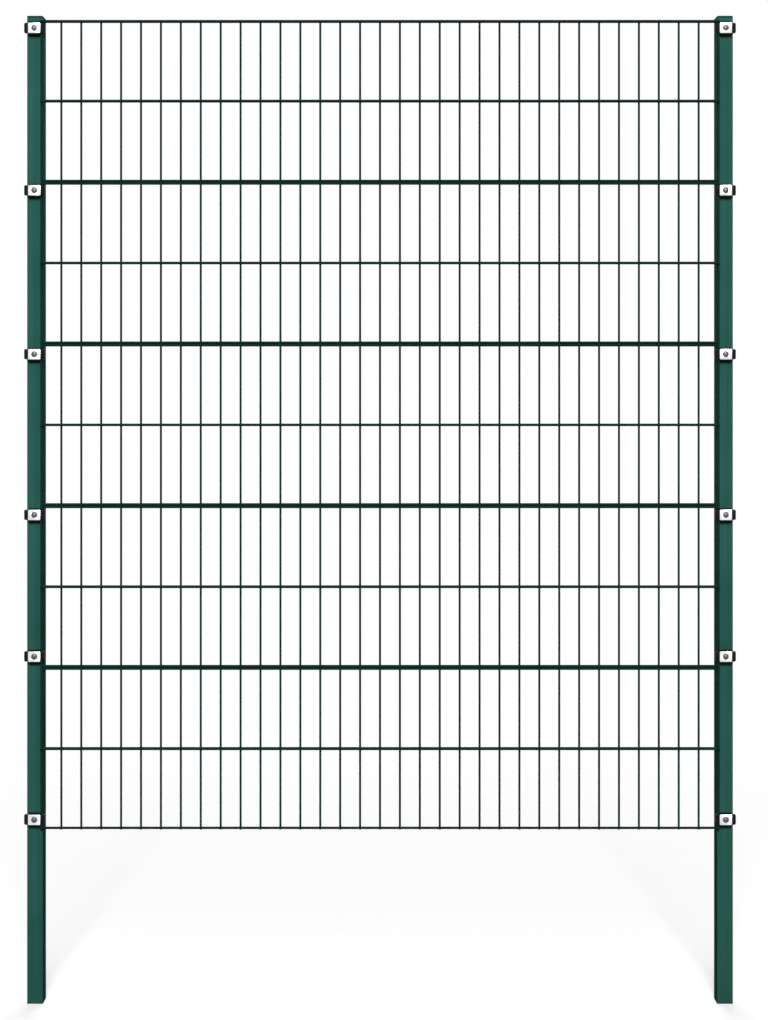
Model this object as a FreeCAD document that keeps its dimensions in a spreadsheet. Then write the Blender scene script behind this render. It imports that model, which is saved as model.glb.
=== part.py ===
# One bay of welded mesh fence: two tube posts with caps, five mesh sections stacked edge to edge, and
# the bolted clips that hold the mesh's end wires on the posts. Millimetres.
# The origin is the centre of the left post's foot. +X runs along the fence to the right post, -Y is the
# side that carries the mesh, and +Z is up.
import FreeCAD, Part
import math
import os
import re
import Sketcher

doc = FreeCAD.newDocument("fence_bay")

SIZES = {
    # posts: rectangular steel tube, plain below the mesh where it goes into the ground
    "post_width": 40,
    "post_depth": 60,
    "post_wall": 1.5,
    "post_corner": 3,
    "post_rise": 11,
    # caps: moulded lids, flush with the tube, with a hollow plug inside it
    "cap_thickness": 5,
    "cap_bevel": 1.5,
    "cap_plug_depth": 18,
    "cap_plug_wall": 2,
    "cap_clearance": 0.2,
    # mesh: upright wires in front of a rod in each row, with a twin rod before them in the middle row and
    # along the top edge of the fence
    "wire_size": 5,
    "wire_pitch": 50,
    "wire_gaps": 34,
    "rod_size": 6,
    "row_pitch": 200,
    "row_gaps": 2,
    "section_gap": 0.4,
    "ground_clearance": 443,
    "wire_inset": 2.5,
    # clips: a moulded block on the post's front with a jaw over the end wire on each side
    "ear_inset": 0.25,
    "ear_corner": 4,
    "jaw_round": 6,
    "jaw_wall": 2.6,
    "jaw_side": 5.5,
    "jaw_clearance": 0.2,
    "rim_depth": 1.5,
    "rim_width": 2.9,
    "bolt_hole": 6.5,
    # cover plates: steel, lying between the rims of the clip
    "plate_width": 30.5,
    "plate_height": 26,
    "plate_thickness": 2,
    "plate_corner": 1.5,
    "plate_clearance": 0.1,
    # clear gaps between the ears of the clips and the rods above or below them
    "bottom_clip_gap": 6.55,
    "lifted_clip_gap": 9.45,
    "lower_clip_gap": 3.65,
    "middle_clip_gap": 6.95,
    "upper_clip_gap": 2.05,
    "top_clip_gap": 0.95,
}
SECTION_COUNT = 5

sheet = doc.addObject("Spreadsheet::Sheet", "sizes")
for row, (alias, size) in enumerate(SIZES.items(), start=1):
    sheet.set(f"A{row}", alias)
    sheet.set(f"B{row}", str(size))
    sheet.setAlias(f"B{row}", alias)
doc.recompute()

# places and sizes that follow from the sheet
WIRE_OFFSET = "(post_width / 2 - wire_inset)"
POST_SPACING = f"(wire_gaps * wire_pitch + 2 * {WIRE_OFFSET})"
WIRE_STAND = "(rod_size + wire_size / 2)"
ROD_OFFSET = "(rod_size + wire_size) / 2"
SEAM_STEP = "(rod_size + section_gap)"
SECTION_STEP = f"(row_gaps * row_pitch + {SEAM_STEP})"
HEXAGON_REACH = 1 / math.sqrt(3)
OCTAGON_SIDE = math.tan(math.pi / 8)
WIRE_REACH = f"(wire_size * {HEXAGON_REACH})"
JAW_HALF = f"({WIRE_REACH} + jaw_clearance)"
JAW_INNER = f"({WIRE_OFFSET} - {JAW_HALF})"
JAW_OUTER = f"({WIRE_OFFSET} + {JAW_HALF})"
JAW_DEPTH = "(rod_size + wire_size)"
CLIP_REACH = f"({JAW_OUTER} + jaw_side)"
PLATE_SEAT = f"({JAW_DEPTH} + jaw_wall)"
CLIP_DEPTH = f"({PLATE_SEAT} + rim_depth)"
CLIP_HEIGHT = "(plate_height + 2 * (plate_clearance + rim_width))"
EAR_HEIGHT = "(plate_height - 2 * ear_inset)"


def section_base(index):
    """Height of the lowest rods of a mesh section, counted from 0 at the ground."""
    return f"ground_clearance + {index} * {SECTION_STEP}"


def seam(index):
    """Height of the joint under a mesh section."""
    return f"{section_base(index)} - {SEAM_STEP} / 2"


TOP_ROW = f"({section_base(SECTION_COUNT - 1)} + row_gaps * row_pitch)"
POST_HEIGHT = f"({TOP_ROW} + post_rise)"
CLEAR_OF_ROD = f"({EAR_HEIGHT} + rod_size) / 2"
CLEAR_OF_SEAM = f"({CLEAR_OF_ROD} + {SEAM_STEP} / 2)"
CLIP_PLACES = [
    f"{section_base(0)} + {CLEAR_OF_ROD} + bottom_clip_gap",
    f"{seam(1)} + {CLEAR_OF_SEAM} + lifted_clip_gap",
    f"{seam(2)} - {CLEAR_OF_SEAM} - lower_clip_gap",
    f"{seam(3)} - {CLEAR_OF_SEAM} - middle_clip_gap",
    f"{seam(4)} - {CLEAR_OF_SEAM} - upper_clip_gap",
    f"{TOP_ROW} - {CLEAR_OF_ROD} - top_clip_gap",
]
POST_PLACES = {"left": "0", "right": POST_SPACING}


def cell(formula):
    """The formula with each size's name pointed at its cell."""
    return re.sub(r"[a-z]+(_[a-z]+)*", lambda name: "sizes." + name.group(), formula)


def value(formula):
    """What the formula comes to with the sheet's present sizes."""
    return float(doc.getObject("sizes").evalExpression(formula))


def new_body(name, x="0", y="0", z="0"):
    body = doc.addObject("PartDesign::Body", name)
    body.Label = name
    for axis, formula in zip("xyz", (x, y, z)):
        body.setExpression(f"Placement.Base.{axis}", cell(formula))
    return body


def new_sketch(body, use, plane, lift="0"):
    """A sketch on one of the body's own planes, lifted along that plane's normal."""
    sketch = body.newObject("Sketcher::SketchObject", f"{body.Name}_{use}")
    support = next(item for item in body.Origin.OriginFeatures if item.Role == plane)
    sketch.AttachmentSupport = [(support, "")]
    sketch.MapMode = "FlatFace"
    sketch.setExpression("AttachmentOffset.Base.z", cell(lift))
    return sketch


def constrain(sketch, kind, *where, size):
    """A dimension of the sketch that follows the sheet."""
    index = sketch.addConstraint(Sketcher.Constraint(kind, *where, value(size)))
    sketch.setExpression(f"Constraints[{index}]", cell(size))


def pin(sketch, edge, end, x, y):
    """Ties an end of an edge, or the centre of a circle, to its place."""
    constrain(sketch, "DistanceX", edge, end, size=x)
    constrain(sketch, "DistanceY", edge, end, size=y)


def vector(x, y):
    return FreeCAD.Vector(value(x), value(y), 0)


def heading(start, end):
    """The whole-number direction of an edge that runs along an axis."""
    step = vector(*end[:2]) - vector(*start[:2])
    return round(step.x / step.Length), round(step.y / step.Length)


def soften(corners):
    """Stops of an outline: (x, y, radius of the arc that leaves it, or None for a straight edge)."""
    stops = []
    for index, corner in enumerate(corners):
        x, y = corner[:2]
        if len(corner) == 2:
            stops.append((x, y, None))
            continue
        radius = corner[2]
        before = heading(corners[index - 1], corner)
        after = heading(corner, corners[(index + 1) % len(corners)])
        stops.append((f"{x} - {before[0]} * ({radius})", f"{y} - {before[1]} * ({radius})", radius))
        stops.append((f"{x} + {after[0]} * ({radius})", f"{y} + {after[1]} * ({radius})", None))
    return stops


def arc_through(start, end, radius, inside):
    """A quarter arc between two stops, on the side away from a point inside its corner."""
    middle = (start + end) / 2
    out = (middle - inside).normalize()
    return Part.Arc(start, inside + out * radius, end)


def outline(sketch, corners):
    """Closes an outline round its corners; a corner's third entry is the radius that rounds it."""
    stops = soften(corners)
    edges = []
    for index, (x, y, radius) in enumerate(stops):
        start = vector(x, y)
        next_x, next_y, _ = stops[(index + 1) % len(stops)]
        end = vector(next_x, next_y)
        if radius is None:
            edge = sketch.addGeometry(Part.LineSegment(start, end))
        else:
            last_x, last_y, _ = stops[index - 1]
            run = (start - vector(last_x, last_y)).normalize()
            centre = end - run * value(radius)
            edge = sketch.addGeometry(arc_through(start, end, value(radius), centre))
        starts_here = sketch.getPoint(edge, 1).distanceToPoint(start) < 1e-6
        edges.append((edge, 1, 2) if starts_here else (edge, 2, 1))
    for index, (x, y, radius) in enumerate(stops):
        edge, start, _ = edges[index]
        last_edge, _, last_end = edges[index - 1]
        pin(sketch, edge, start, x, y)
        sketch.addConstraint(Sketcher.Constraint("Coincident", last_edge, last_end, edge, start))
        if radius is not None:
            constrain(sketch, "Radius", edge, size=radius)


def box(sketch, half_x, half_y, *radius):
    """A rectangle about the sketch's origin, with rounded corners if a radius is given."""
    outline(sketch, [
        (f"-({half_x})", f"-({half_y})", *radius),
        (half_x, f"-({half_y})", *radius),
        (half_x, half_y, *radius),
        (f"-({half_x})", half_y, *radius),
    ])


def circle(sketch, x, y, diameter):
    edge = sketch.addGeometry(Part.Circle(vector(x, y), FreeCAD.Vector(0, 0, 1), value(diameter) / 2))
    pin(sketch, edge, 3, x, y)
    constrain(sketch, "Diameter", edge, size=diameter)


def pad(body, sketch, length, side="One side", back=False):
    feature = body.newObject("PartDesign::Pad", f"{sketch.Name}_pad")
    feature.Profile = sketch
    feature.SideType = side
    feature.Reversed = back
    feature.setExpression("Length", cell(length))
    return feature


def cut_through(body, sketch):
    """Cuts a sketch's outlines through the whole body, both ways from its plane."""
    feature = body.newObject("PartDesign::Pocket", f"{sketch.Name}_cut")
    feature.Profile = sketch
    feature.Type = "ThroughAll"
    feature.SideType = "Symmetric"
    return feature


def repeat(body, feature, axis, length, count):
    """Repeats a feature along one of the body's own axes."""
    pattern = body.newObject("PartDesign::LinearPattern", f"{feature.Name}_row")
    line = next(item for item in body.Origin.OriginFeatures if item.Role == axis)
    pattern.Originals = [feature]
    pattern.Direction = (line, [""])
    pattern.setExpression("Length", cell(length))
    pattern.setExpression("Occurrences", cell(count))
    body.Tip = pattern
    doc.recompute()


def post(name, x):
    """A rectangular tube with a bolt hole through its front and back walls at each clip."""
    body = new_body(name, x=x)
    tube = new_sketch(body, "tube", "XY_Plane")
    box(tube, "post_width / 2", "post_depth / 2", "post_corner")
    box(tube, "post_width / 2 - post_wall", "post_depth / 2 - post_wall", "post_corner - post_wall")
    pad(body, tube, POST_HEIGHT)
    holes = new_sketch(body, "holes", "XZ_Plane")
    for height in CLIP_PLACES:
        circle(holes, "0", height, "bolt_hole")
    cut_through(body, holes)
    return body


def post_cap(name, x):
    """A bevelled lid, flush with the post's sides, whose hollow plug goes down inside the tube."""
    body = new_body(name, x=x, z=POST_HEIGHT)
    lid = new_sketch(body, "lid", "XY_Plane")
    box(lid, "post_width / 2", "post_depth / 2", "post_corner")
    lid_pad = pad(body, lid, "cap_thickness")
    doc.recompute()
    top = max(lid_pad.Shape.Faces, key=lambda face: face.CenterOfMass.z)
    rim = [f"Edge{number}" for number, edge in enumerate(lid_pad.Shape.Edges, start=1)
           if any(edge.isSame(other) for other in top.Edges)]
    bevel = body.newObject("PartDesign::Chamfer", f"{name}_bevel")
    bevel.Base = (lid_pad, rim)
    bevel.setExpression("Size", cell("cap_bevel"))
    plug = new_sketch(body, "plug", "XY_Plane")
    gap = "post_wall - cap_clearance"
    inside = f"{gap} - cap_plug_wall"
    corner = "post_corner - post_wall"
    box(plug, f"post_width / 2 - {gap}", f"post_depth / 2 - {gap}", corner)
    box(plug, f"post_width / 2 - {inside}", f"post_depth / 2 - {inside}")
    pad(body, plug, "cap_plug_depth", back=True)
    return body


def rod(body, use, y, z):
    """A rod from side to side of the end wires, centred at the given depth and height."""
    sketch = new_sketch(body, use, "YZ_Plane", f"-{WIRE_REACH}")
    flat = "rod_size / 2"
    side = f"{flat} * {OCTAGON_SIDE}"
    outline(sketch, [
        (f"{y} + {flat}", f"{z} - {side}"),
        (f"{y} + {flat}", f"{z} + {side}"),
        (f"{y} + {side}", f"{z} + {flat}"),
        (f"{y} - {side}", f"{z} + {flat}"),
        (f"{y} - {flat}", f"{z} + {side}"),
        (f"{y} - {flat}", f"{z} - {side}"),
        (f"{y} - {side}", f"{z} - {flat}"),
        (f"{y} + {side}", f"{z} - {flat}"),
    ])
    return pad(body, sketch, f"wire_gaps * wire_pitch + 2 * {WIRE_REACH}")


def mesh_section(name, base, topmost):
    """Upright wires welded to the front of a rod in each row, and held between twin rods in the middle
    row, and in the top row of the topmost section. Wires are hexagons and rods octagons, so that they
    meet flat on flat, and each wire ends level with the outer side of the end rods."""
    body = new_body(name, WIRE_OFFSET, f"-(post_depth / 2 + {WIRE_STAND})", base)
    wire = new_sketch(body, "wire", "XY_Plane", "-rod_size / 2")
    outline(wire, [
        (WIRE_REACH, "0"),
        (f"{WIRE_REACH} / 2", "wire_size / 2"),
        (f"-{WIRE_REACH} / 2", "wire_size / 2"),
        (f"-{WIRE_REACH}", "0"),
        (f"-{WIRE_REACH} / 2", "-wire_size / 2"),
        (f"{WIRE_REACH} / 2", "-wire_size / 2"),
    ])
    wire_pad = pad(body, wire, "row_gaps * row_pitch + rod_size")

    back_rod = rod(body, "back_rod", ROD_OFFSET, "0")
    repeat(body, back_rod, "Z_Axis", "row_gaps * row_pitch", "row_gaps + 1")
    rod(body, "twin_rod", f"-{ROD_OFFSET}", "row_gaps * row_pitch / 2")
    if topmost:
        rod(body, "edge_rod", f"-{ROD_OFFSET}", "row_gaps * row_pitch")
    repeat(body, wire_pad, "X_Axis", "wire_gaps * wire_pitch", "wire_gaps + 1")
    return body


def clip_block(name, x, z):
    """A moulded block on the post's front face. On each side a jaw, open towards the post and at both
    ends, hooks over an upright end wire: one holds this bay, the other is free for the next bay."""
    body = new_body(name, x, "-post_depth / 2", z)
    jaws = new_sketch(body, "jaws", "XY_Plane")
    outline(jaws, [
        (f"-{CLIP_REACH}", f"-{PLATE_SEAT}", "jaw_round"),
        (CLIP_REACH, f"-{PLATE_SEAT}", "jaw_round"),
        (CLIP_REACH, "0"),
        (JAW_OUTER, "0"),
        (JAW_OUTER, f"-{JAW_DEPTH}"),
        (JAW_INNER, f"-{JAW_DEPTH}"),
        (JAW_INNER, "0"),
        (f"-{JAW_INNER}", "0"),
        (f"-{JAW_INNER}", f"-{JAW_DEPTH}"),
        (f"-{JAW_OUTER}", f"-{JAW_DEPTH}"),
        (f"-{JAW_OUTER}", "0"),
        (f"-{CLIP_REACH}", "0"),
    ])
    pad(body, jaws, EAR_HEIGHT, side="Symmetric")
    ears = new_sketch(body, "ears", "XZ_Plane")
    box(ears, CLIP_REACH, f"{EAR_HEIGHT} / 2", "ear_corner")
    box(ears, f"{CLIP_REACH} + ear_corner", f"{EAR_HEIGHT} / 2 + ear_corner")
    cut_through(body, ears)
    core = new_sketch(body, "core", "XY_Plane")
    outline(core, [
        (f"-{JAW_INNER}", f"-{CLIP_DEPTH}"),
        (JAW_INNER, f"-{CLIP_DEPTH}"),
        (JAW_INNER, "0"),
        (f"-{JAW_INNER}", "0"),
    ])
    pad(body, core, CLIP_HEIGHT, side="Symmetric")
    tray = new_sketch(body, "tray", "YZ_Plane")
    half = "(plate_height / 2 + plate_clearance)"
    outline(tray, [
        (f"-{CLIP_DEPTH} - rim_depth", f"-{half}"),
        (f"-{PLATE_SEAT}", f"-{half}"),
        (f"-{PLATE_SEAT}", half),
        (f"-{CLIP_DEPTH} - rim_depth", half),
    ])
    cut_through(body, tray)
    hole = new_sketch(body, "hole", "XZ_Plane")
    circle(hole, "0", "0", "bolt_hole")
    cut_through(body, hole)
    return body


def clip_plate(name, x, z):
    """A steel cover plate with clipped corners and one bolt hole, lying in the tray of its clip."""
    body = new_body(name, x, "-post_depth / 2", z)
    plate = new_sketch(body, "plate", "XZ_Plane", PLATE_SEAT)
    half_x = "plate_width / 2"
    half_z = "plate_height / 2"
    outline(plate, [
        (half_x, f"plate_corner - {half_z}"),
        (half_x, f"{half_z} - plate_corner"),
        (f"{half_x} - plate_corner", half_z),
        (f"plate_corner - {half_x}", half_z),
        (f"-{half_x}", f"{half_z} - plate_corner"),
        (f"-{half_x}", f"plate_corner - {half_z}"),
        (f"plate_corner - {half_x}", f"-{half_z}"),
        (f"{half_x} - plate_corner", f"-{half_z}"),
    ])
    circle(plate, "0", "0", "bolt_hole")
    pad(body, plate, "plate_thickness")
    return body


bodies = []
for side, x in POST_PLACES.items():
    bodies.append(post(f"{side}_post", x))
    bodies.append(post_cap(f"{side}_post_cap", x))
    for number, height in enumerate(CLIP_PLACES, start=1):
        bodies.append(clip_block(f"{side}_clip_{number}", x, height))
        bodies.append(clip_plate(f"{side}_clip_plate_{number}", x, height))
for number in range(SECTION_COUNT):
    topmost = number == SECTION_COUNT - 1
    bodies.append(mesh_section(f"mesh_section_{number + 1}", section_base(number), topmost))
doc.recompute()

for item in doc.Objects:
    if "Invalid" in item.State or "Error" in item.State:
        raise RuntimeError(f"{item.Name} is {item.State}")
    if item.TypeId == "PartDesign::Pocket" and item.Shape.Volume >= item.BaseFeature.Shape.Volume:
        raise RuntimeError(f"{item.Name} cuts nothing")
for body in bodies:
    if body.Shape.isNull() or not body.Shape.isValid() or len(body.Shape.Solids) != 1:
        raise RuntimeError(f"{body.Label} is not one sound solid")

os.makedirs("parts", exist_ok=True)
for body in bodies:
    body.Shape.exportStep(f"parts/{body.Label}.step")
    place = ", ".join(f"{distance:.1f}" for distance in body.Shape.BoundBox.Center)
    print(f"{body.Label}: {body.Shape.Volume / 1000:.1f} cm3 at {place}")
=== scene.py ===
# %% [markdown]
# A bay of welded mesh fence
#
# Two green tube posts carry five sections of welded wire mesh, stacked edge to edge and held by
# bolted black clips with bright cover plates. Every piece was first drawn as a solid, and those
# solids are loaded here as a frame that stays where it is. This lesson adds what the solids leave
# out: round bars with their welds, softened edges, bolts, and finishes with the grain of the real
# ones.

# %% Load the frame
import math

import bmesh
import bpy
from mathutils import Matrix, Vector


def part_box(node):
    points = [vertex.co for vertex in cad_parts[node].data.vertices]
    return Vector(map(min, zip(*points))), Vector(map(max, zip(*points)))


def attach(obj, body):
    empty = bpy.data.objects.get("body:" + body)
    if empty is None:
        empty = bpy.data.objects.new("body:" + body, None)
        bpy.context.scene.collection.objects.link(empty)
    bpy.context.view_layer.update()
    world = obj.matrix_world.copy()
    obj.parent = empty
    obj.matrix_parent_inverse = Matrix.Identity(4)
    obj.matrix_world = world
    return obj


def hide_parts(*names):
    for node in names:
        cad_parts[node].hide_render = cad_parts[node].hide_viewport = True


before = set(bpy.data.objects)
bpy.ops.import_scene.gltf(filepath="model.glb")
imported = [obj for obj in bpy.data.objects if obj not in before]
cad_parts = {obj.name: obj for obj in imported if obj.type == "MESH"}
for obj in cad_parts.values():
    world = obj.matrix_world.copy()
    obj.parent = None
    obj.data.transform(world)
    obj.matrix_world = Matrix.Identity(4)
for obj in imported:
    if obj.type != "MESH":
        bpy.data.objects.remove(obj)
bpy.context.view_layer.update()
scene = bpy.context.scene

# %% [markdown]
# The camera
#
# The picture was taken square on: all upright wires stand parallel and the two posts mirror each
# other. So the camera looks straight along +Y from the middle of the bay. A tilted camera would make
# the posts lean, so it stays level at eye height, and the lens is shifted instead, as on an
# architect's camera. The first and last wire are 1.7 m apart and span two thirds of the picture's
# height, which gives the lens.

# %% Set up the camera
PICTURE_HEIGHT = 1020
SENSOR_SIZE = 36.0
EYE_HEIGHT = 1.581
VIEW_DISTANCE = 6.2
WIRES_APART = 1.7
WIRES_APART_IN_PICTURE = 677.1 / PICTURE_HEIGHT
LENS_SHIFT = (4 / PICTURE_HEIGHT, -135 / PICTURE_HEIGHT)
left_low, left_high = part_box("left_post")
right_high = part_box("right_post")[1]
bay_middle = (left_low.x + right_high.x) / 2
section_low, section_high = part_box("mesh_section_1")
wire_plane = (section_low.y + section_high.y) / 2

camera_data = bpy.data.cameras.new("camera")
camera_data.sensor_width = SENSOR_SIZE
camera_data.lens = SENSOR_SIZE * VIEW_DISTANCE * WIRES_APART_IN_PICTURE / WIRES_APART
camera_data.shift_x, camera_data.shift_y = LENS_SHIFT
camera = bpy.data.objects.new("camera", camera_data)
camera.location = (bay_middle, wire_plane - VIEW_DISTANCE, EYE_HEIGHT)
camera.rotation_euler = (math.radians(90), 0, 0)
scene.collection.objects.link(camera)
scene.camera = camera
scene.view_settings.view_transform = "Standard"
print("camera at", [round(part, 3) for part in camera.location], "lens", round(camera_data.lens, 2))

# %% [markdown]
# Nodes in code
#
# Finishes, the floor and the repeated pieces are all made of nodes. One small helper adds a node and
# fills its inputs. An input takes either a plain value or the socket it is linked from, so that each
# line below reads like one box in the node editor.

# %% Add a node


def add_node(tree, kind, inputs=None, **settings):
    """Adds a node; an input is a plain value or the socket that it is linked from."""
    made = tree.nodes.new(kind)
    for name, setting in settings.items():
        setattr(made, name, setting)
    for name, source in (inputs or {}).items():
        if isinstance(source, bpy.types.NodeSocket):
            tree.links.new(source, made.inputs[name])
        else:
            made.inputs[name].default_value = source
    return made


# %% [markdown]
# Light and floor
#
# A product picture like this one is lit from far in front and above, so that the fronts are bright,
# the inner sides of the posts fall off into the dark and every clip throws a thin shadow below
# itself. Lamps all round would show every side, but as flat as a drawing. So there is one strong
# lamp in front, and only a weaker one high up behind and a weak strip beside each post keep the back
# and the outer sides readable. The world fills the rest. What the camera and the bright metal see of
# the world is plain white, which costs the fence no extra light. The floor is pale where the camera
# sees it, and keeps the posts' shadows, but it throws little light back at them. Far from the fence
# it fades away into the white, so that no horizon shows.

# %% Sky
FILL_STRENGTH = 0.07
WHITE_STRENGTH = 1.0


def grey(level):
    """A colour without a hue, from 0 for black to 1 for white."""
    return (level, level, level, 1)


def seen_directly(tree):
    """1 for what the camera sees, straight or by a mirror, and 0 for light on its way to a surface."""
    paths = add_node(tree, "ShaderNodeLightPath").outputs
    seen = paths["Is Camera Ray"]
    for other in ("Is Glossy Ray", "Is Transmission Ray"):
        seen = add_node(
            tree, "ShaderNodeMath", {0: seen, 1: paths[other]}, operation="MAXIMUM").outputs[0]
    return seen


def either(tree, share, first, second):
    """The first shader where the share is 0, and the second where it is 1."""
    return add_node(tree, "ShaderNodeMixShader", {0: share, 1: first, 2: second}).outputs[0]


def sky_light(tree, strength):
    """A white sky of an even strength."""
    return add_node(
        tree, "ShaderNodeBackground", {"Color": grey(1), "Strength": strength}).outputs[0]


world = bpy.data.worlds.new("studio")
scene.world = world
world.use_nodes = True
sky = world.node_tree
sky.nodes.clear()
fill, white = sky_light(sky, FILL_STRENGTH), sky_light(sky, WHITE_STRENGTH)
shown = either(sky, seen_directly(sky), fill, white)
add_node(sky, "ShaderNodeOutputWorld", {"Surface": shown})
print("sky fills the shade with", FILL_STRENGTH)

# %% Lamps
LAMP_TARGET = Vector((bay_middle, 0.0, 1.3))
FRONT_LAMP = {"place": (bay_middle, -12.4, 7.9), "width": 3.0, "height": 5.0, "watts": 1930}
REAR_LAMP = {"place": (bay_middle, 9.0, 8.5), "width": 5.0, "height": 3.0, "watts": 650}
STRIP_LAMP = {"width": 0.6, "height": 2.4, "watts": 6}
STRIP_DISTANCE = 1.6


def soft_lamp(name, target, place, width, height, watts):
    """A soft lamp that shines at the target and isn't seen itself."""
    data = bpy.data.lights.new(name, "AREA")
    data.shape = "RECTANGLE"
    data.size, data.size_y = width, height
    data.energy = watts
    lamp = bpy.data.objects.new(name, data)
    lamp.location = place
    lamp.rotation_euler = (target - lamp.location).to_track_quat("-Z", "Y").to_euler()
    lamp.visible_camera = False
    scene.collection.objects.link(lamp)
    print(name, round((target - lamp.location).length, 2), "m away")


soft_lamp("front lamp", LAMP_TARGET, **FRONT_LAMP)
soft_lamp("rear lamp", LAMP_TARGET, **REAR_LAMP)
for side, outer_x, outwards in (("left", left_low.x, -1), ("right", right_high.x, 1)):
    post_side = Vector((outer_x, 0.0, LAMP_TARGET.z))
    strip_place = post_side + Vector((outwards * STRIP_DISTANCE, 0, 0))
    soft_lamp(f"{side} strip", post_side, strip_place, **STRIP_LAMP)

# %% Floor board
FLOOR_REACH = 6.0
CORNERS = ((-1, -1), (1, -1), (1, 1), (-1, 1))
floor_mesh = bpy.data.meshes.new("floor")
floor_mesh.from_pydata(
    [(x * FLOOR_REACH, y * FLOOR_REACH, 0) for x, y in CORNERS], [], [(0, 1, 2, 3)])
floor = bpy.data.objects.new("floor", floor_mesh)
floor.location.x = bay_middle
scene.collection.objects.link(floor)
print("floor of", 2 * FLOOR_REACH, "m a side")

# %% Floor finish
FLOOR_TONE = 0.70
FLOOR_GLOW = 0.43
BOUNCE_TONE = 0.12
FADE_START, FADE_END = 1.6, 5.5
pale = bpy.data.materials.new("pale floor")
pale.use_nodes = True
board = pale.node_tree
board.nodes.clear()
lit = add_node(board, "ShaderNodeBsdfDiffuse", {"Color": grey(FLOOR_TONE)}).outputs[0]
glow = add_node(
    board, "ShaderNodeEmission", {"Color": grey(1), "Strength": FLOOR_GLOW}).outputs[0]
brighter = add_node(board, "ShaderNodeAddShader", {0: lit, 1: glow}).outputs[0]
dim = add_node(board, "ShaderNodeBsdfDiffuse", {"Color": grey(BOUNCE_TONE)}).outputs[0]
board_place = add_node(board, "ShaderNodeTexCoord").outputs["Object"]
away = add_node(
    board, "ShaderNodeVectorMath", {0: board_place}, operation="LENGTH").outputs["Value"]
fade = add_node(board, "ShaderNodeMapRange", {
    "Value": away, "From Min": FADE_START, "From Max": FADE_END},
    interpolation_type="SMOOTHSTEP").outputs[0]
clear = add_node(board, "ShaderNodeBsdfTransparent").outputs[0]
faded = either(board, fade, either(board, seen_directly(board), dim, brighter), clear)
add_node(board, "ShaderNodeOutputMaterial", {"Surface": faded})
floor_mesh.materials.append(pale)
print("floor fades out", FADE_END, "m from the middle of the bay")

# %% [markdown]
# Green powder coat
#
# Posts and bars are powder coated: the powder melts into a dull skin with an orange peel and a tone
# that is never quite even. A painted image could show that, but it would have to be wrapped round
# every bar, and noise needs no wrapping. A slow noise makes the clouds, a noise drawn out along the
# tube makes the marks that roll forming leaves, and two fine ones make the grain. They read Object
# coordinates, which here are the fence's own metres, so the grain keeps its size on every piece. The
# posts get the coat's green. The thin bars carry the same coat, but get a deeper green, which is
# painted shade for the dark look of bars this thin. Both reflect almost nothing.

# %% Noises for the finishes
NOISE_LOW, NOISE_HIGH = 0.3, 0.7
EVEN = (1, 1, 1)


def grain(tree, place, scale, detail, stretch=EVEN):
    """A noise from 0 to 1; a small stretch draws it out along that axis."""
    drawn = add_node(tree, "ShaderNodeMapping", {"Vector": place, "Scale": stretch}).outputs[0]
    return add_node(tree, "ShaderNodeTexNoise", {
        "Vector": drawn, "Scale": scale, "Detail": detail}).outputs["Fac"]


def between(tree, source, low, high):
    """Spreads the middle of a noise over the range from low to high."""
    return add_node(tree, "ShaderNodeMapRange", {
        "Value": source, "From Min": NOISE_LOW, "From Max": NOISE_HIGH,
        "To Min": low, "To Max": high}).outputs[0]


def blend(tree, first, second, share):
    """A mixture of two noises, with the given share of the second."""
    return add_node(
        tree, "ShaderNodeMix", {"Factor": share, "A": first, "B": second}).outputs[0]


# %% From noises to a finish
FIRST_COLOUR, SECOND_COLOUR, MIXED_COLOUR = 6, 7, 2
SPECKLE = 0.06


def new_finish(name):
    """An empty finish: its material, node tree, shader and the place on the fence in metres."""
    material = bpy.data.materials.new(name)
    material.use_nodes = True
    tree = material.node_tree
    shader = tree.nodes["Principled BSDF"]
    place = add_node(tree, "ShaderNodeTexCoord").outputs["Object"]
    return material, tree, shader, place


def two_tone(tree, source, first, second):
    """A colour that wanders between two tones."""
    mix = add_node(tree, "ShaderNodeMix", {
        "Factor": between(tree, source, 0, 1),
        FIRST_COLOUR: (*first, 1), SECOND_COLOUR: (*second, 1)}, data_type="RGBA")
    return mix.outputs[MIXED_COLOUR]


def speckled(tree, wide, fine, low, high):
    """A roughness that drifts from low to high with the wide noise and wavers with the fine one."""
    return add_node(tree, "ShaderNodeMath", {
        0: between(tree, wide, low, high),
        1: between(tree, fine, -SPECKLE, SPECKLE)}, operation="ADD").outputs[0]


def plug_in(tree, shader, colour, roughness, relief, strength, depth):
    """Links a finish to its shader, with a relief of the given depth in metres as its bump."""
    bump = add_node(tree, "ShaderNodeBump", {
        "Strength": strength, "Distance": depth, "Height": relief}).outputs[0]
    for name, source in (("Base Color", colour), ("Roughness", roughness), ("Normal", bump)):
        tree.links.new(source, shader.inputs[name])


# %% Powder coats
MM = 0.001
# Scale and detail of each noise.
CLOUD, ROLLED, PEEL, SPECK = (7, 4), (150, 2), (700, 1), (1500, 1)
ROLLED_SHARE, SPECK_SHARE = 0.45, 0.3
ALONG_POST = (1, 1, 0.01)
COAT_DRIFT = 0.1
COAT_REFLECTION = 0.003
PEEL_STRENGTH = 0.5


def powder_coat(name, deep, fresh, peel_depth, marks, roughness):
    """A dull coat between two tones, with orange peel and the marks of the metal below."""
    material, tree, shader, place = new_finish(name)
    cloud = grain(tree, place, *CLOUD)
    rolled = grain(tree, place, *ROLLED, stretch=marks)
    speck = grain(tree, place, *SPECK)
    tone = blend(tree, blend(tree, cloud, rolled, ROLLED_SHARE), speck, SPECK_SHARE)
    plug_in(tree, shader, two_tone(tree, tone, deep, fresh),
            speckled(tree, cloud, speck, roughness, roughness + COAT_DRIFT),
            grain(tree, place, *PEEL), PEEL_STRENGTH, peel_depth)
    shader.inputs["Specular IOR Level"].default_value = COAT_REFLECTION
    return material


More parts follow.
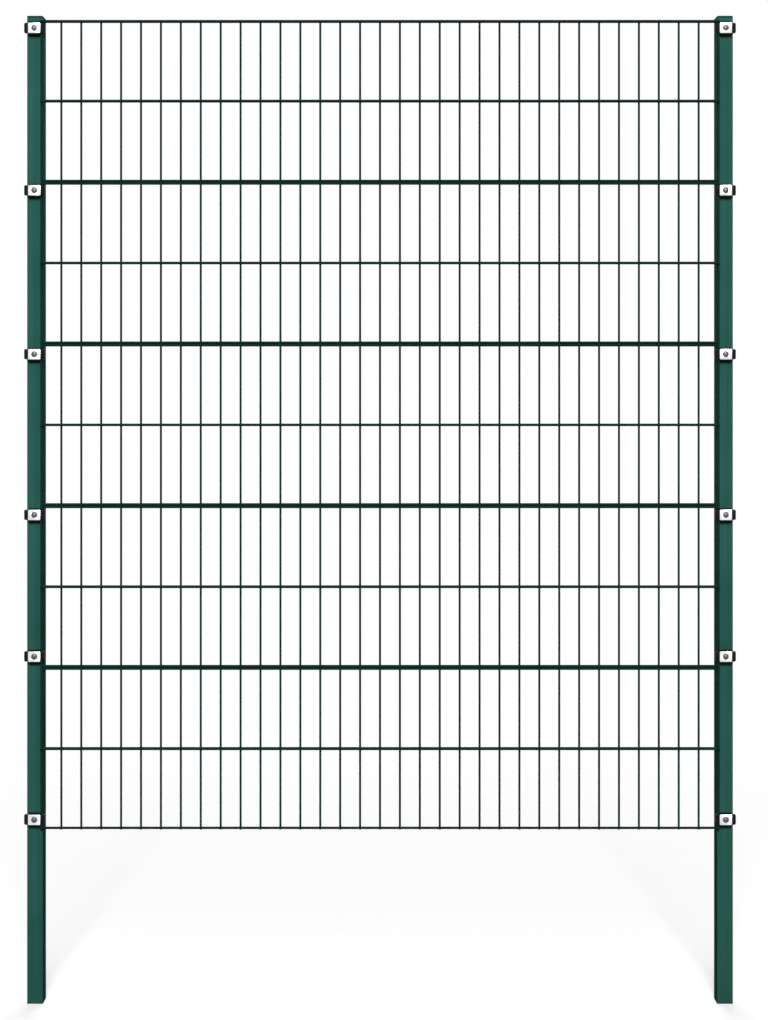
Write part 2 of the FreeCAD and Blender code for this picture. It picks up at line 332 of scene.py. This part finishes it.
post_coat = powder_coat(
    "green post coat", deep=(0.017, 0.084, 0.068), fresh=(0.034, 0.135, 0.111),
    peel_depth=0.5 * MM, marks=ALONG_POST, roughness=0.80)
# The bars' deeper green is painted shade: the same coat as the posts, darkened for the shade that bars
# this thin show. Only its wander between the two tones is the coat's own.
mesh_coat = powder_coat(
    "green mesh coat darkened as painted shade", deep=(0.0055, 0.024, 0.0195), fresh=(0.0125, 0.042, 0.0355),
    peel_depth=0.2 * MM, marks=EVEN, roughness=0.70)
print("powder coats:", post_coat.name, "and", mesh_coat.name)

# %% [markdown]
# Moulded plastic
#
# Clips and caps are injection moulded. Their mould was spark eroded, which leaves a fine even grain,
# and they shine a little more than the coat. The pits are far too small to model, so a dense noise
# in the bump gives the grain, and a wide one makes slow flow marks in tone and gloss.

# %% Plastic finishes
FLOW, PITS = (60, 3), (2600, 1)
PIT_STRENGTH, PIT_DEPTH = 0.3, 0.1 * MM
PLASTIC_REFLECTION = 0.06


def moulded(name, deep, fresh, smoothest, roughest):
    """A plastic with a fine grain and slow flow marks."""
    material, tree, shader, place = new_finish(name)
    flow = grain(tree, place, *FLOW)
    plug_in(tree, shader, two_tone(tree, flow, deep, fresh),
            between(tree, flow, smoothest, roughest),
            grain(tree, place, *PITS), PIT_STRENGTH, PIT_DEPTH)
    shader.inputs["Specular IOR Level"].default_value = PLASTIC_REFLECTION
    return material


cap_plastic = moulded(
    "green cap plastic", deep=(0.010, 0.054, 0.043), fresh=(0.014, 0.068, 0.054),
    smoothest=0.66, roughest=0.76)
clip_plastic = moulded(
    "black clip plastic", deep=(0.005, 0.0065, 0.0065), fresh=(0.008, 0.0095, 0.0095),
    smoothest=0.50, roughest=0.62)
print("plastics:", cap_plastic.name, "and", clip_plastic.name)

# %% [markdown]
# Zinc plate
#
# The cover plates are punched from sheet and zinc plated, so they are bright, with rolling marks
# drawn out along the sheet and a cloudy bloom. The marks are hundredths of a millimetre deep, too
# fine to cut as grooves, so a noise drawn out along X makes them, in tone, gloss and bump alike.
# Bolts and nuts have a duller plating, because they are barrel plated and knock against each other.

# %% Metal finishes
STREAK, BLOOM = (900, 3), (120, 3)
STREAK_SHARE = 0.6
ALONG_SHEET = (0.06, 1, 1)
STREAK_STRENGTH, STREAK_DEPTH = 0.2, 0.05 * MM


def plated(name, dull, bright, smoothest, roughest, marks, edge):
    """A plated metal with rolling marks; edge is how bright it gets where it is seen at a slant."""
    material, tree, shader, place = new_finish(name)
    streak = grain(tree, place, *STREAK, stretch=marks)
    bloom = grain(tree, place, *BLOOM)
    tone = blend(tree, bloom, streak, STREAK_SHARE)
    plug_in(tree, shader, two_tone(tree, tone, dull, bright),
            speckled(tree, bloom, streak, smoothest, roughest),
            streak, STREAK_STRENGTH, STREAK_DEPTH)
    shader.inputs["Metallic"].default_value = 1.0
    shader.inputs["Specular Tint"].default_value = grey(edge)
    return material


plate_zinc = plated(
    "bright zinc plate", dull=(0.60, 0.62, 0.63), bright=(0.79, 0.80, 0.80),
    smoothest=0.30, roughest=0.40, marks=ALONG_SHEET, edge=1.0)
bolt_zinc = plated(
    "dull zinc bolt", dull=(0.075, 0.075, 0.077), bright=(0.12, 0.12, 0.122),
    smoothest=0.40, roughest=0.50, marks=EVEN, edge=0.3)
print("metals:", plate_zinc.name, "and", bolt_zinc.name)

# %% [markdown]
# Posts, caps, clips and plates
#
# The solids already have the right form, so nothing is drawn anew. But a solid has knife edges, and
# nothing real does. A softened edge catches a thin line of light, and that line is what makes a tube
# or a moulding look made. Each solid is copied, its loose triangles are merged into one skin, flat
# areas are cleaned of spare edges, and a Bevel rounds every sharp edge by a fraction of a
# millimetre. The copy then stands for the solid.

# %% Soften a solid
MERGE_REACH = 0.001 * MM
FLAT_ANGLE = math.radians(0.5)
SHARP_ANGLE = math.radians(35)
BEVEL_STEPS = 2


def as_mesh(piece):
    """The piece's shape with its modifiers worked out, as a plain mesh."""
    return bpy.data.meshes.new_from_object(
        piece.evaluated_get(bpy.context.evaluated_depsgraph_get()))


def softened(node, rounding):
    """A copy of a solid as one clean skin with rounded edges."""
    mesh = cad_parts[node].data.copy()
    skin = bmesh.new()
    skin.from_mesh(mesh)
    bmesh.ops.remove_doubles(skin, verts=skin.verts, dist=MERGE_REACH)
    bmesh.ops.dissolve_limit(skin, angle_limit=FLAT_ANGLE, verts=skin.verts, edges=skin.edges)
    skin.to_mesh(mesh)
    skin.free()
    mesh.shade_smooth()
    piece = bpy.data.objects.new(f"{node}_skin", mesh)
    scene.collection.objects.link(piece)
    bevel = piece.modifiers.new("rounded edges", "BEVEL")
    bevel.width = rounding
    bevel.segments = BEVEL_STEPS
    bevel.limit_method = "ANGLE"
    bevel.angle_limit = SHARP_ANGLE
    bevel.harden_normals = True
    finished = as_mesh(piece)
    piece.modifiers.remove(bevel)
    piece.data = finished
    return piece


# %% Soften every solid but the mesh
SKINS = {
    "post": (post_coat, "post_coat", 0.3 * MM),
    "post_cap": (cap_plastic, "cap_plastic", 0.6 * MM),
    "clip": (clip_plastic, "clip_plastic", 0.6 * MM),
    "clip_plate": (plate_zinc, "zinc_steel", 0.4 * MM),
}


def keep(piece, material, slot, *stands_for):
    """Gives a piece its finish and fixes it to the fence, in place of its solid if it has one."""
    piece.data.materials.clear()
    piece.data.materials.append(material)
    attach(piece, "root")
    if stands_for:
        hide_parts(*stands_for)


for node in sorted(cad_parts):
    kind = node.removeprefix("left_").removeprefix("right_").rstrip("_0123456789")
    if kind in SKINS:
        material, slot, rounding = SKINS[kind]
        keep(softened(node, rounding), material, slot, node)

# %% [markdown]
# Welded mesh
#
# A mesh section is a drawing by rule: wires a fixed step apart, rods behind them in three rows, a
# twin rod in front of the middle row, and a weld wherever two bars cross. The topmost section has a
# twin rod along its top edge as well. Array modifiers could repeat the bars, but not welds of which
# no two are quite alike, so this is work for Geometry Nodes. One tree builds a section from its
# sizes. Each bar is a round cylinder with eased ends, a little thicker than its steel by the coat,
# so that the coats of two stacked sections just meet. Each weld is a small lump squeezed out between
# the bars.

# %% Make a node tree and grow it once
SOCKET_KINDS = {int: "NodeSocketInt", float: "NodeSocketFloat", tuple: "NodeSocketVector"}


def new_tree(name, sizes):
    """An empty geometry tree with one named input for each size."""
    tree = bpy.data.node_groups.new(name, "GeometryNodeTree")
    tree.interface.new_socket("Geometry", in_out="INPUT", socket_type="NodeSocketGeometry")
    for label, size in sizes.items():
        tree.interface.new_socket(label, in_out="INPUT", socket_type=SOCKET_KINDS[type(size)])
    tree.interface.new_socket("Geometry", in_out="OUTPUT", socket_type="NodeSocketGeometry")
    return tree, add_node(tree, "NodeGroupInput").outputs


def made_real(tree, shape):
    """The shape with its copies turned into mesh."""
    return add_node(tree, "GeometryNodeRealizeInstances", {"Geometry": shape}).outputs[0]


def finish_tree(tree, shape, material):
    """Makes the copies in a shape real, gives them their material and ends the tree."""
    coated = add_node(tree, "GeometryNodeSetMaterial", {
        "Geometry": made_real(tree, shape), "Material": material}).outputs[0]
    add_node(tree, "NodeGroupOutput", {"Geometry": coated})


def grow(name, tree, sizes, points=()):
    """Runs a tree once, on loose points if it needs them, and keeps the result as a plain mesh."""
    mesh = bpy.data.meshes.new(name)
    mesh.from_pydata(list(points), [], [])
    piece = bpy.data.objects.new(name, mesh)
    scene.collection.objects.link(piece)
    modifier = piece.modifiers.new(tree.name, "NODES")
    modifier.node_group = tree
    for socket in tree.interface.items_tree:
        if socket.in_out == "INPUT" and socket.name in sizes:
            modifier[socket.identifier] = sizes[socket.name]
    piece.data = as_mesh(piece)
    piece.modifiers.clear()
    return piece


# %% Small sums for the trees


def calc(tree, operation, first, second):
    """One sum of two numbers."""
    return add_node(tree, "ShaderNodeMath", {0: first, 1: second}, operation=operation).outputs[0]


def half(tree, number):
    """Half of a number."""
    return calc(tree, "DIVIDE", number, 2)


def minus(tree, number):
    """A number with its sign turned round."""
    return calc(tree, "MULTIPLY", number, -1)


def vector_calc(tree, operation, first, second):
    """One sum of two places or directions."""
    return add_node(
        tree, "ShaderNodeVectorMath", {0: first, 1: second}, operation=operation).outputs[0]


def point(tree, x=0.0, y=0.0, z=0.0):
    """A place from its three numbers."""
    return add_node(tree, "ShaderNodeCombineXYZ", {"X": x, "Y": y, "Z": z}).outputs[0]


# %% Small steps for the trees
NOWHERE = (0, 0, 0)


def moved(tree, shape, shift, turn=NOWHERE, scale=EVEN):
    """The shape at another place, turned and scaled."""
    return add_node(tree, "GeometryNodeTransform", {
        "Geometry": shape, "Translation": shift, "Rotation": turn, "Scale": scale}).outputs[0]


def joined(tree, *shapes):
    """All the shapes as one."""
    join = add_node(tree, "GeometryNodeJoinGeometry")
    for shape in reversed(shapes):
        tree.links.new(shape, join.inputs[0])
    return join.outputs[0]


def points_along(tree, count, step, start=NOWHERE):
    """A row of points, a step apart."""
    return add_node(tree, "GeometryNodeMeshLine", {
        "Count": count, "Start Location": start, "Offset": step}).outputs["Mesh"]


def copies(tree, points, shape, **more):
    """One copy of the shape on every point."""
    return add_node(tree, "GeometryNodeInstanceOnPoints", {
        "Points": points, "Instance": shape, **more}).outputs[0]


def ball(tree, radius, segments, rings):
    """A ball with its poles along Z."""
    return add_node(tree, "GeometryNodeMeshUVSphere", {
        "Segments": segments, "Rings": rings, "Radius": radius}).outputs["Mesh"]


def smooth(tree, shape):
    """The shape with smooth shading all over."""
    return add_node(tree, "GeometryNodeSetShadeSmooth", {"Geometry": shape}).outputs[0]


# %% Measure the mesh
WIRE_SIZE = 5.0 * MM
ROD_SIZE = 6.0 * MM
COAT = 0.21 * MM
WIRE_COUNT = 35
ROW_COUNT = 3
rod_overhang = (section_high.x - section_low.x - WIRES_APART) / 2
mesh_sizes = {
    "Wires": WIRE_COUNT,
    "Wire step": WIRES_APART / (WIRE_COUNT - 1),
    "Wire radius": WIRE_SIZE / 2 + COAT,
    "Rows": ROW_COUNT,
    "Row step": (section_high.z - section_low.z - ROD_SIZE) / (ROW_COUNT - 1),
    "Rod radius": ROD_SIZE / 2 + COAT,
    "Rod offset": (WIRE_SIZE + ROD_SIZE) / 2,
    "Rod overhang": rod_overhang,
    "Twin rods": 1,
    "Weld radius": 3.2 * MM,
    "Seed": 1,
    "Place": (0.0, 0.0, 0.0),
}
mesh_tree, mesh_in = new_tree("welded mesh", mesh_sizes)
print({label: round(length, 5) for label, length in mesh_sizes.items() if label.startswith("R")})

# %% Mesh tree: one bar
BAR_SIDES = 12
BAR_STEPS = 3
END_SHARE = 0.4
EASED_RADIUS = 0.72
EASED_LENGTH = 0.3
SHARP_EDGE = math.radians(38)


def bar(tree, radius, length):
    """A closed round bar along Z from its origin up, whose cut ends are eased."""
    tube = add_node(tree, "GeometryNodeMeshCylinder", {
        "Vertices": BAR_SIDES, "Side Segments": BAR_STEPS,
        "Radius": radius, "Depth": length}).outputs["Mesh"]
    place = add_node(tree, "GeometryNodeInputPosition").outputs[0]
    height = add_node(tree, "ShaderNodeSeparateXYZ", {0: place}).outputs["Z"]
    from_middle = add_node(tree, "ShaderNodeMath", {0: height}, operation="ABSOLUTE").outputs[0]
    # The end rings are drawn in.
    at_end = calc(tree, "GREATER_THAN", from_middle, calc(tree, "MULTIPLY", length, END_SHARE))
    drawn_in = vector_calc(tree, "MULTIPLY", place, (EASED_RADIUS, EASED_RADIUS, 1))
    ends = add_node(tree, "GeometryNodeSetPosition", {
        "Geometry": tube, "Selection": at_end, "Position": drawn_in}).outputs[0]
    # The two rings between them are pushed out until they almost reach the ends.
    easing = calc(tree, "MULTIPLY", radius, EASED_LENGTH)
    near_end = calc(tree, "SUBTRACT", half(tree, length), easing)
    pushed = calc(tree, "MULTIPLY", calc(tree, "DIVIDE", near_end, from_middle), height)
    flat_place = vector_calc(tree, "MULTIPLY", place, (1, 1, 0))
    out = vector_calc(tree, "ADD", flat_place, point(tree, z=pushed))
    eased = add_node(tree, "GeometryNodeSetPosition", {
        "Geometry": ends, "Selection": calc(tree, "SUBTRACT", 1, at_end),
        "Position": out}).outputs[0]
    # Round the bar the shading is smooth, and at the cut ends it stays sharp.
    bend = add_node(tree, "GeometryNodeInputMeshEdgeAngle").outputs["Unsigned Angle"]
    edged = add_node(tree, "GeometryNodeSetShadeSmooth", {
        "Geometry": smooth(tree, eased), "Shade Smooth": False,
        "Selection": calc(tree, "GREATER_THAN", bend, SHARP_EDGE)}, domain="EDGE").outputs[0]
    return moved(tree, edged, point(tree, z=half(tree, length)))


print("a bar has", BAR_STEPS * BAR_SIDES + 2, "faces")

# %% Mesh tree: wires
row_gaps = calc(mesh_tree, "SUBTRACT", mesh_in["Rows"], 1)
mesh_height = calc(mesh_tree, "MULTIPLY", mesh_in["Row step"], row_gaps)
rod_width = calc(mesh_tree, "MULTIPLY", mesh_in["Rod radius"], 2)
wire_length = calc(mesh_tree, "ADD", mesh_height, rod_width)
wire = moved(mesh_tree, bar(mesh_tree, mesh_in["Wire radius"], wire_length),
             point(mesh_tree, z=minus(mesh_tree, mesh_in["Rod radius"])))
wire_feet = points_along(mesh_tree, mesh_in["Wires"], point(mesh_tree, x=mesh_in["Wire step"]))
wires = copies(mesh_tree, wire_feet, wire)
print("wires drawn with", len(mesh_tree.nodes), "nodes")

# %% Mesh tree: rods
LYING = (0, math.radians(90), 0)
wire_gaps = calc(mesh_tree, "SUBTRACT", mesh_in["Wires"], 1)
mesh_length = calc(mesh_tree, "MULTIPLY", mesh_in["Wire step"], wire_gaps)
both_overhangs = calc(mesh_tree, "MULTIPLY", mesh_in["Rod overhang"], 2)
rod_length = calc(mesh_tree, "ADD", mesh_length, both_overhangs)
rod = moved(mesh_tree, bar(mesh_tree, mesh_in["Rod radius"], rod_length),
            point(mesh_tree, x=minus(mesh_tree, mesh_in["Rod overhang"])), turn=LYING)
middle_row = half(mesh_tree, mesh_height)


def back_rows(offset):
    """A point for every row, behind the wires by the offset."""
    return points_along(mesh_tree, mesh_in["Rows"], point(mesh_tree, z=mesh_in["Row step"]),
                        point(mesh_tree, y=offset))


def twin_rows(offset):
    """A point for every row with a twin rod, before the wires by the offset."""
    return points_along(mesh_tree, mesh_in["Twin rods"], point(mesh_tree, z=mesh_in["Row step"]),
                        point(mesh_tree, y=minus(mesh_tree, offset), z=middle_row))


back_rods = copies(mesh_tree, back_rows(mesh_in["Rod offset"]), rod)
twin_rods = copies(mesh_tree, twin_rows(mesh_in["Rod offset"]), rod)
print("wires and rods drawn with", len(mesh_tree.nodes), "nodes")

# %% Mesh tree: welds
WELD_SEGMENTS, WELD_RINGS = 8, 5
WELD_SQUEEZE = (1, 0.4, 1)
SMALLEST_WELD, LARGEST_WELD = (0.8, 0.85, 0.8), (1.15, 1.1, 1.2)
lump = ball(mesh_tree, mesh_in["Weld radius"], WELD_SEGMENTS, WELD_RINGS)
weld = moved(mesh_tree, lump, NOWHERE, scale=WELD_SQUEEZE)
on_one_wire = joined(
    mesh_tree, back_rows(mesh_in["Wire radius"]), twin_rows(mesh_in["Wire radius"]))
crossings = made_real(mesh_tree, copies(mesh_tree, wire_feet, on_one_wire))
uneven = add_node(mesh_tree, "FunctionNodeRandomValue", {
    0: SMALLEST_WELD, 1: LARGEST_WELD, "Seed": mesh_in["Seed"]}, data_type="FLOAT_VECTOR").outputs[0]
welds = made_real(mesh_tree, copies(mesh_tree, crossings, weld, Scale=uneven))
section = joined(mesh_tree, wires, back_rods, twin_rods, smooth(mesh_tree, welds))
finish_tree(mesh_tree, moved(mesh_tree, section, mesh_in["Place"]), mesh_coat)
print("welded mesh tree has", len(mesh_tree.nodes), "nodes")

# %% Grow the sections
SECTION_COUNT = 5
for number in range(1, SECTION_COUNT + 1):
    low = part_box(f"mesh_section_{number}")[0]
    corner = (low.x + rod_overhang, wire_plane, low.z + ROD_SIZE / 2)
    twins = 2 if number == SECTION_COUNT else 1
    grown = grow(f"mesh_section_{number}_bars", mesh_tree, {
        **mesh_sizes, "Place": corner, "Seed": number, "Twin rods": twins})
    keep(grown, mesh_coat, "mesh_coat", f"mesh_section_{number}")
    print(grown.name, len(grown.data.polygons), "faces")

# %% [markdown]
# Clip bolts
#
# A dome-headed bolt goes through each plate, clip and post, with a washer and nut behind. One bolt
# could be modelled by hand and copied in a loop, but a tree keeps its sizes as named inputs. The
# bolts stand on twelve loose points, one at the middle of each plate's face, and the tree copies one
# bolt to every point. The dome is half a ball over a ring, closed by a Convex Hull. The nut is a
# hexagon cut by a flattened ball, which leaves the curved chamfer of a real nut. The thread end is a
# few ridges, each two short cones. Merge by Distance turns such pieces into one closed skin.

# %% Measure the bolts
plate_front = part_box("left_clip_plate_1")[0].y
bolt_sizes = {
    "Head radius": 7.5 * MM,
    "Head height": 2.8 * MM,
    "Rim height": 0.7 * MM,
    "Shank radius": 3.0 * MM,
    "Grip": left_high.y - plate_front,
    "Washer radius": 6.2 * MM,
    "Washer height": 1.4 * MM,
    "Nut width": 10.0 * MM,
    "Nut height": 5.0 * MM,
    "Thread core": 2.5 * MM,
    "Thread pitch": 1.0 * MM,
    "Thread turns": 3,
}
bolt_tree, bolt_in = new_tree("clip bolt", bolt_sizes)
print("a bolt grips", round(bolt_sizes["Grip"] / MM, 1), "mm of plate, clip and post")

# %% Bolt tree: head
HEAD_SIDES, HEAD_RINGS = 24, 12
RIM_LEVEL = 0.001 * MM
whole_ball = ball(bolt_tree, bolt_in["Head radius"], HEAD_SIDES, HEAD_RINGS)
ball_place = add_node(bolt_tree, "GeometryNodeInputPosition").outputs[0]
depth = add_node(bolt_tree, "ShaderNodeSeparateXYZ", {0: ball_place}).outputs["Z"]
inside = add_node(bolt_tree, "FunctionNodeCompare", {
    0: depth, 1: RIM_LEVEL}, operation="GREATER_THAN", data_type="FLOAT").outputs[0]
half_ball = add_node(bolt_tree, "GeometryNodeDeleteGeometry", {
    "Geometry": whole_ball, "Selection": inside}).outputs[0]
squash = calc(bolt_tree, "DIVIDE", bolt_in["Head height"], bolt_in["Head radius"])
dome = moved(bolt_tree, half_ball, point(bolt_tree, z=minus(bolt_tree, bolt_in["Rim height"])),
             scale=point(bolt_tree, 1.0, 1.0, squash))
ring = add_node(bolt_tree, "GeometryNodeMeshCircle", {
    "Vertices": HEAD_SIDES, "Radius": bolt_in["Head radius"]}).outputs["Mesh"]
head = add_node(bolt_tree, "GeometryNodeConvexHull", {
    "Geometry": joined(bolt_tree, dome, ring)}).outputs[0]
round_head = smooth(bolt_tree, head)
print("bolt head drawn with", len(bolt_tree.nodes), "nodes")

# %% Bolt tree: shank and washer
SHANK_SIDES, WASHER_SIDES = 16, 28


def disc(tree, radius, height, sides):
    """A closed disc from its origin up."""
    flat = add_node(tree, "GeometryNodeMeshCylinder", {
        "Vertices": sides, "Radius": radius, "Depth": height}).outputs["Mesh"]
    return moved(tree, flat, point(tree, z=half(tree, height)))


shank = disc(bolt_tree, bolt_in["Shank radius"], bolt_in["Grip"], SHANK_SIDES)
flat_washer = disc(bolt_tree, bolt_in["Washer radius"], bolt_in["Washer height"], WASHER_SIDES)
washer = moved(bolt_tree, flat_washer, point(bolt_tree, z=bolt_in["Grip"]))
print("shank and washer take it to", len(bolt_tree.nodes), "nodes")

# %% Bolt tree: nut
TOUCH = 0.001 * MM
NUT_SIDES = 6
FLATS_TO_RADIUS = math.sqrt(3)
CUTTER_SEGMENTS, CUTTER_RINGS = 32, 16
CHAMFER_BALL = (0.70, 0.70, 0.34)
OFF_CORNERS = (0, 0, math.radians(3))


def one_skin(tree, shape):
    """The shape with its copies made real and the points that touch made one."""
    return add_node(tree, "GeometryNodeMergeByDistance", {
        "Geometry": made_real(tree, shape), "Distance": TOUCH}).outputs[0]


nut_radius = calc(bolt_tree, "DIVIDE", bolt_in["Nut width"], FLATS_TO_RADIUS)
hexagon = disc(bolt_tree, nut_radius, bolt_in["Nut height"], NUT_SIDES)
cutter = moved(
    bolt_tree, ball(bolt_tree, bolt_in["Nut width"], CUTTER_SEGMENTS, CUTTER_RINGS),
    point(bolt_tree, z=half(bolt_tree, bolt_in["Nut height"])), turn=OFF_CORNERS, scale=CHAMFER_BALL)
chamfered = add_node(bolt_tree, "GeometryNodeMeshBoolean", operation="INTERSECT", solver="EXACT")
for solid in (cutter, hexagon):
    bolt_tree.links.new(solid, chamfered.inputs["Mesh 2"])
nut_seat = calc(bolt_tree, "ADD", bolt_in["Grip"], bolt_in["Washer height"])
nut = moved(bolt_tree, one_skin(bolt_tree, chamfered.outputs["Mesh"]), point(bolt_tree, z=nut_seat))
print("the nut takes it to", len(bolt_tree.nodes), "nodes")

# %% Bolt tree: thread end
HALF_TURN = (math.radians(180), 0, 0)


def flank(tree, foot, rim, height):
    """An open cone, which is one side of a thread's ridge."""
    return add_node(tree, "GeometryNodeMeshCone", {
        "Vertices": SHANK_SIDES, "Radius Bottom": foot, "Radius Top": rim, "Depth": height},
        fill_type="NONE").outputs["Mesh"]


half_pitch = half(bolt_tree, bolt_in["Thread pitch"])
rise = flank(bolt_tree, bolt_in["Thread core"], bolt_in["Shank radius"], half_pitch)
fall = flank(bolt_tree, bolt_in["Shank radius"], bolt_in["Thread core"], half_pitch)
ridge = joined(bolt_tree, rise, moved(bolt_tree, fall, point(bolt_tree, z=half_pitch)))
thread_start = calc(bolt_tree, "ADD", nut_seat, bolt_in["Nut height"])
root_place = point(bolt_tree, z=thread_start)
ridge_feet = points_along(
    bolt_tree, bolt_in["Thread turns"], point(bolt_tree, z=bolt_in["Thread pitch"]), root_place)
ridges = copies(bolt_tree, ridge_feet, ridge)
thread_length = calc(bolt_tree, "MULTIPLY", bolt_in["Thread pitch"], bolt_in["Thread turns"])
thread_end = calc(bolt_tree, "ADD", thread_start, thread_length)
end_face = add_node(bolt_tree, "GeometryNodeMeshCircle", {
    "Vertices": SHANK_SIDES, "Radius": bolt_in["Thread core"]}, fill_type="NGON").outputs["Mesh"]
tip = moved(bolt_tree, end_face, point(bolt_tree, z=thread_end))
root = moved(bolt_tree, end_face, root_place, turn=HALF_TURN)
thread = one_skin(bolt_tree, joined(bolt_tree, ridges, tip, root))
print("the thread end takes it to", len(bolt_tree.nodes), "nodes")

# %% Bolt tree: the whole bolt
BACKWARDS = (math.radians(-90), 0, 0)
whole = joined(bolt_tree, round_head, shank, washer, nut, thread)
bolt = moved(bolt_tree, whole, NOWHERE, turn=BACKWARDS)
finish_tree(bolt_tree, copies(bolt_tree, bolt_in["Geometry"], bolt), bolt_zinc)
print("clip bolt tree has", len(bolt_tree.nodes), "nodes")

# %% Grow the bolts
seats = []
for node in sorted(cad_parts):
    if "_clip_plate_" in node:
        low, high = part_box(node)
        seats.append(((low.x + high.x) / 2, low.y, (low.z + high.z) / 2))
bolts = grow("clip_bolts", bolt_tree, bolt_sizes, seats)
keep(bolts, bolt_zinc, "zinc_steel")
print(len(seats), "bolts,", len(bolts.data.polygons), "faces")
